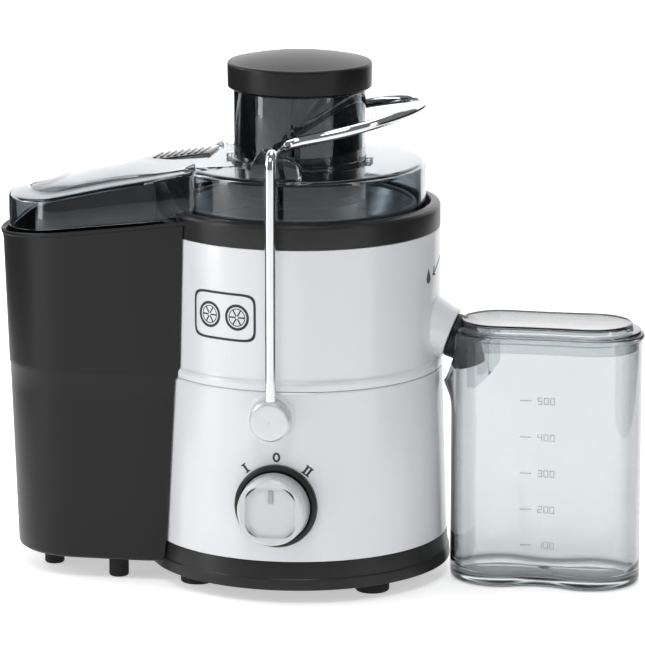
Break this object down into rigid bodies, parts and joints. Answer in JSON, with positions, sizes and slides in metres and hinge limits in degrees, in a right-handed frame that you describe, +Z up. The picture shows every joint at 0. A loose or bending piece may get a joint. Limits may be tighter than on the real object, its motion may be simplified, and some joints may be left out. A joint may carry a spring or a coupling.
{
  "type": "centrifugal juicer",
  "caption": "Countertop centrifugal juicer: round motor base, clear lid with feed chute and pusher, swing-over locking bar, side pulp bin and lidded juice jug",
  "frame": {"origin": "on the motor axis at table level, at the centre of the four main feet", "axes": "+Z up along the motor axis; -Y is the front with the dial; +X points to the juice outlet and jug, -X to the pulp bin"},
  "size_m": [0.3641, 0.1937, 0.2988],
  "materials": {
    "housing_white": "glossy pearl white moulded plastic",
    "trim_black": "semi-gloss black moulded plastic",
    "satin_black": "satin black moulded plastic",
    "rubber_black": "dull black rubber",
    "smoke_clear": "clear smoke-blue plastic",
    "jug_clear": "clear grey-green plastic",
    "chrome_bar": "polished chrome-plated steel bar",
    "silver_caps": "pale silver satin plastic",
    "knob_grey": "pale grey moulded plastic",
    "steel": "plain stainless steel",
    "bowl_white": "white moulded plastic",
    "laminations": "stacked steel laminations",
    "copper": "copper and brass",
    "zinc": "pressed zinc-plated metal"
  },
  "bodies": {
    "base": {"base_ring": "trim_black", "bottom_plate": "satin_black", "rubber_feet": "rubber_black", "bottom_screws": "steel", "lower_housing": "housing_white", "upper_housing": "housing_white", "top_collar": "trim_black", "juice_bowl": "bowl_white", "shaft_seal": "rubber_black", "front_pivot_seat": "housing_white", "rear_pivot_seat": "housing_white", "dial_bezel": "trim_black", "speed_switch": "bowl_white", "lid_switch": "satin_black", "cord_gland": "rubber_black", "terminal_block": "bowl_white", "motor_deck": "zinc", "motor_stator": "laminations", "field_coils": "copper", "upper_bracket": "zinc", "lower_bracket": "zinc", "upper_bearing": "steel", "lower_bearing": "steel", "motor_screws": "steel", "motor_dampers": "rubber_black", "brush_holders": "copper", "juice_nozzle": "satin_black"},
    "spinner": {"motor_shaft": "steel", "rotor_core": "laminations", "commutator": "copper", "cooling_fan": "bowl_white", "drive_coupling": "satin_black", "filter_basket": "steel", "basket_rim": "steel", "grater_disc": "steel"},
    "knob": {"speed_knob": "knob_grey", "knob_spindle": "steel"},
    "arm": {"locking_arm": "chrome_bar", "front_pivot_cap": "silver_caps", "rear_pivot_cap": "silver_caps", "pivot_pins": "steel", "pin_clips": "steel"},
    "lid": {"lid_shell": "smoke_clear", "lid_deck": "smoke_clear", "bin_cover": "smoke_clear", "feed_chute": "smoke_clear", "latch_saddles": "smoke_clear"},
    "pusher": {"pusher_cap": "satin_black", "pusher_tube": "smoke_clear"},
    "bin": {"pulp_bin": "satin_black", "bin_feet": "rubber_black"},
    "jug": {"juice_jug": "jug_clear"},
    "jug_cover": {"jug_lid": "jug_clear", "froth_separator": "jug_clear"}
  },
  "joints": [
    {"name": "spinner_spin", "type": "hinge", "parent": "base", "child": "spinner", "pos_m": [0, 0, 0.11], "axis": [0, 0, 1], "continuous": true},
    {"name": "knob_turn", "type": "hinge", "parent": "base", "child": "knob", "pos_m": [0.003, -0.09, 0.056], "axis": [0, 1, 0], "range_deg": [-45, 45]},
    {"name": "arm_swing", "type": "hinge", "parent": "base", "child": "arm", "pos_m": [0, -0.0892, 0.1065], "axis": [0, 1, 0], "range_deg": [0, 40]},
    {"name": "lid_lift", "type": "slide", "parent": "base", "child": "lid", "axis": [0, 0, 1], "range_m": [0, 0.018]},
    {"name": "pusher_lift", "type": "slide", "parent": "lid", "child": "pusher", "axis": [0, 0, 1], "range_m": [0, 0.09]},
    {"name": "bin_slide", "type": "slide", "parent": "base", "child": "bin", "axis": [-1, 0, 0], "range_m": [0, 0.12]},
    {"name": "jug_slide", "type": "slide", "parent": "base", "child": "jug", "axis": [1, 0, 0], "range_m": [0, 0.12]},
    {"name": "jug_lid_lift", "type": "slide", "parent": "jug", "child": "jug_cover", "axis": [0, 0, 1], "range_m": [0, 0.025]}
  ],
  "couplings": [
    {"joint": "lid_lift", "follows": "arm_swing", "m_per_rad": 0.02578}
  ]
}
